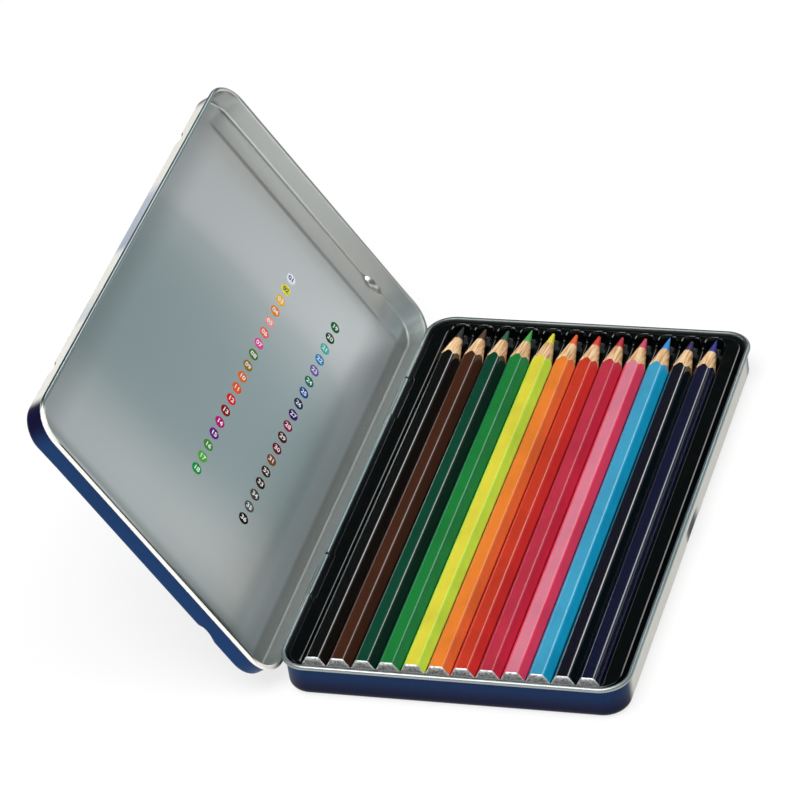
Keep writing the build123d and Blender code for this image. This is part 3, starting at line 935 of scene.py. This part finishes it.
def hexagonOutline():
    # six corner arcs, centre + edge radius * (cos, sin), with short straight runs between them
    p = pencilForm
    reach = (p["flats"] / 2 - p["edgeRadius"]) / cos(radians(30))
    arc = np.radians(np.linspace(-30, 30, p["arcSteps"] + 1))
    points = []
    for corner in range(6):
        middle = radians(60 * corner)
        centre = reach * np.array([cos(middle), sin(middle)])
        points.append(centre + p["edgeRadius"] * np.stack([np.cos(middle + arc), np.sin(middle + arc)], -1))
    points = np.stack(points)
    following = np.roll(points, -1, axis=0)[:, 0]
    share = (np.arange(1, p["flatSteps"]) / p["flatSteps"])[None, :, None]
    flats = points[:, -1:, :] * (1 - share) + following[:, None, :] * share
    return np.concatenate([points, flats], axis=1).reshape(-1, 2)


def turnedRow(radius, y, angles):
    # round the pencil's axis: x = radius * cos, z = radius * sin
    return np.stack([radius * np.cos(angles), np.broadcast_to(y, angles.shape), radius * np.sin(angles)], -1)


def closedRows(rows, start=0):
    # quads between neighbouring rows, and one face to close each end
    count, columns = len(rows), rows.shape[1]
    last = start + (count - 1) * columns
    ends = [list(range(first, first + columns)) for first in (start, last)]
    return gridQuads(count, columns, start=start).reshape(-1, 4).tolist() + ends


def makeCasing(colour, place, finishes):
    # rows from the foiled end along the barrel; the barrel ends where the sharpener's cone is as
    # wide as the hexagon, y = length - radius / taper, and the wood runs on down to the lead
    p = pencilForm
    lacquered, wooden, foiled = 0, 1, 2
    outline = hexagonOutline()
    angles = np.arctan2(outline[:, 1], outline[:, 0])
    reach = np.hypot(outline[:, 0], outline[:, 1])
    rows, finishOf = [], []

    def hexagonRow(scale, y, finish):
        across, up = outline.T * scale
        rows.append(np.stack([across, np.broadcast_to(y, reach.shape), up], -1))
        finishOf.append(finish)

    for share in p["endShares"]:
        hexagonRow(share, 0.02 + 0.03 * share, foiled)
    for degrees in p["endTurns"]:
        turn = radians(degrees)
        inset = p["endRound"] * (1 - sin(turn))
        rise = 0.05 + p["endRound"] * (1 - cos(turn))
        hexagonRow(1 - 2 * inset / p["flats"], rise, foiled if degrees < 90 else lacquered)
    for y in p["barrelRows"]:
        hexagonRow(1.0, y, lacquered)
    scallop = p["length"] - reach / p["taper"]
    hexagonRow(1.0, scallop - 0.35, lacquered)
    hexagonRow(1.0, scallop, wooden)
    bore = p["boreRadius"]
    for share in p["coneShares"]:
        radius = reach * (1 - share) + bore * share
        rows.append(turnedRow(radius, p["length"] - radius / p["taper"], angles))
    rows.append(turnedRow(bore, p["length"] - bore / p["taper"] - 0.3, angles))
    rows.append(turnedRow(bore, p["leadCover"], angles))
    finishOf += [wooden] * (len(p["coneShares"]) + 2)
    grid = np.stack(rows) + place
    faceFinish = np.repeat(finishOf[:-1], len(outline)).tolist() + [foiled, wooden]
    return addPiece("casing_" + colour, grid.reshape(-1, 3), closedRows(grid), finishes, faceFinish)


def makeLead(colour, place, wornOrLidShaded, finish):
    # straight in its bore, then the same cone as the wood's, down to a tip worn to a ball that
    # touches the cone where their slopes agree
    p = pencilForm
    slant = hypot(1, p["taper"])
    centre = p["length"] - wornOrLidShaded * slant / p["taper"]
    touch = centre + wornOrLidShaded * p["taper"] / slant
    shoulder = p["length"] - p["leadRadius"] / p["taper"]
    profile = [(p["leadRadius"], y) for y in (p["leadCover"], shoulder - 0.3, shoulder)]
    for share in p["leadShares"]:
        y = shoulder + (touch - shoulder) * share
        profile.append(((p["length"] - y) * p["taper"], y))
    for turn in np.linspace(atan2(p["taper"], 1), pi / 2 * 0.93, p["tipSteps"]):
        profile.append((wornOrLidShaded * cos(turn), centre + wornOrLidShaded * sin(turn)))
    ring = np.linspace(0, 2 * pi, p["leadColumns"], endpoint=False)
    grid = np.stack([turnedRow(radius, y, ring) for radius, y in profile]) + place
    return addPiece("core_" + colour, grid.reshape(-1, 3), closedRows(grid), [finish])


def makePencil(colour, middle, wornOrLidShaded, finishes):
    place = np.array([middle, pencilRow["bluntY"], pencilRow["axisZ"]])
    body = "pencil_" + colour
    casing = makeCasing(colour, place, finishes[:3])
    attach(casing, body)
    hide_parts("pencil_" + colour)
    lead = makeLead(colour, place, wornOrLidShaded, finishes[3])
    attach(lead, body)
    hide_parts("lead_" + colour)


# colour chart printed inside the lid

lidChart = {
    "columns": (52.8, 29.6), "firstY": (61.45, 62.35), "pitch": 6.13, "rows": 18, "dotRadius": 2.1,
    "dotSteps": 36, "inkThickness": 0.02, "surface": -0.1, "numberHeight": 1.9, "digitStep": 1.35,
    "heightShare": 0.72, "bolder": 0.03, "numberRise": 1.6, "paleDots": 2,
    "inks": [
        "#e6f0fb", "#e8e222", "#f2b81f", "#e5881c", "#ee9a92", "#e8695a", "#de4c98", "#4a7814", "#93720f",
        "#e0691a", "#e8561f", "#d81f26", "#8a0f14", "#b50e74", "#691a85", "#3e8d33", "#4dac31", "#009640",
        "#0c6a3a", "#0a4a28", "#45b8ae", "#0f86c6", "#6e5fae", "#06745f", "#08529a", "#082f5a", "#391468",
        "#8c0f45", "#491220", "#6b1026", "#7c4522", "#3b1c1c", "#2b1706", "#49423b", "#505a56", "#060606",
    ],
}


def placeOnField(across, up, rise):
    # reading directions on the lid's field: across runs towards the hinge, up runs along the tin
    flat = np.stack([lidTin["hingeX"] - across, -up, lidChart["surface"] + rise], -1)
    return openLid(flat)


def digitPlates():
    # each digit is cut once as a thin plate of ink and stamped wherever it is printed
    chart = lidChart
    plates = {}
    for digit in "0123456789":
        curve = bpy.data.curves.new("digit" + digit, "FONT")
        curve.body = digit
        curve.size = chart["numberHeight"] / chart["heightShare"]
        curve.extrude = chart["inkThickness"] / 2
        curve.offset = chart["bolder"] * chart["numberHeight"]
        curve.resolution_u = 3
        curve.align_x = "CENTER"
        curve.align_y = "CENTER"
        holder = bpy.data.objects.new("digit" + digit, curve)
        bpy.context.scene.collection.objects.link(holder)
        mesh = bpy.data.meshes.new_from_object(holder.evaluated_get(bpy.context.evaluated_depsgraph_get()))
        points = np.empty(len(mesh.vertices) * 3)
        mesh.vertices.foreach_get("co", points)
        plates[digit] = (points.reshape(-1, 3), [list(face.vertices) for face in mesh.polygons])
        bpy.data.objects.remove(holder)
        bpy.data.curves.remove(curve)
        bpy.data.meshes.remove(mesh)
    return plates


def makeChart():
    chart = lidChart
    turns = np.linspace(0, 2 * pi, chart["dotSteps"], endpoint=False)
    rim = chart["dotRadius"] * np.stack([np.cos(turns), np.sin(turns)], -1)
    plates = digitPlates()
    points, faces, finishOf = [], [], []
    numberPoints, numberFaces, numberFinish = [], [], []
    used = 0
    for number, code in enumerate(chart["inks"]):
        column, row = divmod(number, chart["rows"])
        across, up = -chart["columns"][column], chart["firstY"][column] - chart["pitch"] * row
        dot = np.stack([
            placeOnField(across + rim[:, 0], up + rim[:, 1], np.full(len(rim), rise))
            for rise in (0.0, chart["inkThickness"])
        ])
        dotFaces = closedRows(dot, start=number * 2 * len(rim))
        points.append(dot.reshape(-1, 3))
        faces += dotFaces
        finishOf += [number] * len(dotFaces)
        for place, digit in zip((-0.5, 0.5), "%02d" % (number + 1)):
            plate, plateFaces = plates[digit]
            shift = across + place * chart["digitStep"]
            rise = chart["numberRise"] * chart["inkThickness"] + plate[:, 2]
            numberPoints.append(placeOnField(shift + plate[:, 0], up + plate[:, 1], rise))
            numberFaces += [[used + corner for corner in face] for face in plateFaces]
            numberFinish += [1 if number < chart["paleDots"] else 0] * len(plateFaces)
            used += len(plate)
    inks = [chartInk("chartInk%02d" % (n + 1), code) for n, code in enumerate(chart["inks"])]
    dots = addPiece("lid_chart_dots", np.concatenate(points), faces, inks, finishOf)
    inks = [chartInk("numberInkPale", "#f4f6f6"), chartInk("numberInkDark", "#123a6a")]
    numbers = addPiece("lid_chart_numbers", np.concatenate(numberPoints), numberFaces, inks, numberFinish)
    for piece in (dots, numbers):
        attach(piece, "lid")


# floor, lamps and sky; lamp places in metres, powers in watts

studio = {
    "floorHalf": 6.0, "floorInks": ("#fbfbfa", "#fdfdfc"), "paperSize": 300, "floorRoughness": 0.9,
    "floorWhite": 0.78, "horizon": 0.56, "frontHorizon": 1.0, "zenith": 0.03, "horizonBand": (0.02, 0.25),
    "frontDirection": (0.5, -0.87, 0), "frontBand": (0.1, 0.8), "aim": (-0.03, 0, 0.03),
    "lamps": {
        "overheadSoftbox": {"place": (-0.2, -0.62, 1.7), "size": (1.5, 1.5), "power": 40.5},
        "farRightSoftbox": {"place": (0.3, 1.2, 1.03), "size": (1.0, 0.36), "power": 5.0},
        "aboveRightSoftbox": {"place": (0.75, 0.05, 1.5), "size": (0.7, 0.7), "power": 3.5},
    },
}


def addSoftbox(name, settings):
    # a flat soft lamp facing the tin
    light = bpy.data.lights.new(name, "AREA")
    light.shape = "RECTANGLE"
    light.size, light.size_y = settings["size"]
    light.energy = settings["power"]
    place = np.array(settings["place"])
    back = place - np.array(studio["aim"])
    back /= np.linalg.norm(back)
    side = np.cross([0, 0, 1], back)
    side /= np.linalg.norm(side)
    setInPlace(bpy.data.objects.new(name, light), side, np.cross(back, side), back, place)


def makeFloor():
    finish = newFinish("studioFloor")
    paper = softNoise(finish, patternPlace(finish), studio["paperSize"], 2)
    tone = mixInk(finish, paper, *[inkColour(code) for code in studio["floorInks"]])
    sheet = addNode(finish, "ShaderNodeBsdfPrincipled", {
        "Base Color": tone, "Roughness": studio["floorRoughness"],
    })
    # where the floor is seen straight, in metal or through glass, most of it shows as plain white
    # and the rest carries the shadow
    white = addNode(finish, "ShaderNodeEmission", {"Color": (1, 1, 1, 1), "Strength": 1.0})
    path = addNode(finish, "ShaderNodeLightPath")
    direct = calculate(finish, "MAXIMUM", (path, "Is Camera Ray"), (path, "Is Glossy Ray"))
    seen = calculate(finish, "MAXIMUM", direct, (path, "Is Transmission Ray"))
    amount = calculate(finish, "MULTIPLY", seen, studio["floorWhite"])
    surface = addNode(finish, "ShaderNodeMixShader", {0: amount, 1: (sheet, "BSDF"), 2: (white, "Emission")})
    addNode(finish, "ShaderNodeOutputMaterial", {"Surface": (surface, "Shader")})
    half = studio["floorHalf"] / mm
    corners = [(-half, -half, 0), (half, -half, 0), (half, half, 0), (-half, half, 0)]
    floor = addPiece("studio_floor", corners, [(0, 1, 2, 3)], [finish], closed=False)


def makeSky():
    # a pale horizon, brightest in front of the tin, that fades to a dim grey overhead
    world = bpy.data.worlds.new("studioSky")
    world.use_nodes = True
    world.node_tree.nodes.clear()
    coords = addNode(world, "ShaderNodeTexCoord")
    split = addNode(world, "ShaderNodeSeparateXYZ", {"Vector": (coords, "Generated")})
    height = remap(world, (split, "Z"), *studio["horizonBand"], 0, 1)
    low, front, high = [(studio[key],) * 3 + (1,) for key in ("horizon", "frontHorizon", "zenith")]
    ahead = alongDirection(world, (coords, "Generated"), studio["frontDirection"])
    glow = mixInk(world, remap(world, ahead, *studio["frontBand"], 0, 1), low, front)
    tone = mixInk(world, height, glow, high)
    sky = addNode(world, "ShaderNodeBackground", {"Color": tone, "Strength": 1.0})
    addNode(world, "ShaderNodeOutputWorld", {"Surface": (sky, "Background")})
    bpy.context.scene.world = world
    bpy.context.scene.view_settings.view_transform = "Standard"


makeCamera()
makeFloor()
for name, settings in studio["lamps"].items():
    addSoftbox(name, settings)
makeSky()
print("camera, floor, lamps and sky placed")

openWall = hingeAlong + lidTin["rimWidth"] - 0.6  # the opening side's wall, outwards like hingeAlong

baseLook = {
    # bareInks: the inks of the bands of painted reflection and shade, darkest at the far end (farEnd),
    # painted shade on the far rim
    "bareInks": {"dim": "#8d9fa1", "cool": "#a3afb0", "nearEnd": "#a6acab", "farEnd": "#666c6c"},
    "roughness": 0.42, "navies": ("#052954", "#08315f"), "wallDirection": (1, 0, 0), "wallFrom": 54.9,
    # shade: painted shade, the navy darker and more violet down the base's wall
    "strokes": [], "shadeDirection": (0, 0, -1), "shade": (-10.0, -2.0), "shadeInk": "#07092b",
}

lidLook = {
    # bareInks: the inks of the bands of painted reflection and shade on the lid's bare tin
    "bareInks": {"dim": "#b1c6c9", "cool": "#e9f1f2", "nearEnd": "#e7eae8", "farEnd": "#e7eae8"},
    "roughness": 0.31, "navies": ("#06305f", "#0a3a6c"), "wallDirection": lidAlong, "wallFrom": openWall,
    "strokes": [(-40.0, -22.0, 0.4), (-1.0, 40.0, 0.9)],
    # shade: painted shade, the navy darker and more violet beside the opening wall
    "shadeDirection": lidAlong, "shade": (openWall - 11.0, openWall - 3.0), "shadeInk": "#0d0c2e",
}

baseBare = bareTinplate("baseBareTin", baseLook["bareInks"], baseLook["roughness"], wornOrLidShaded=False)
lidBare = bareTinplate("lidBareTin", lidLook["bareInks"], lidLook["roughness"], wornOrLidShaded=True)
makeBaseTin(printedTinplate("basePrint", baseLook), baseBare)
print("base tin formed")
makeLidTin(printedTinplate("lidPrint", lidLook), lidBare)
makeChart()
print("lid tin formed and its chart printed")
makeTray(blackStyrene())
print("tray formed")
cedar, foil = sharpenedCedar(), silverFoil()
for number, (colour, (flatCode, flankShadeCode, coreCode, wornOrLidShaded, clear)) in enumerate(pencilColours.items()):
    middle = pencilRow["first"] + pencilRow["pitch"] * number
    lacquer = pencilLacquer("lacquer_" + colour, flatCode, flankShadeCode, middle, clear)
    makePencil(colour, middle, wornOrLidShaded, [lacquer, cedar, foil, pigmentCore("core_" + colour, coreCode)])
print("pencils made")
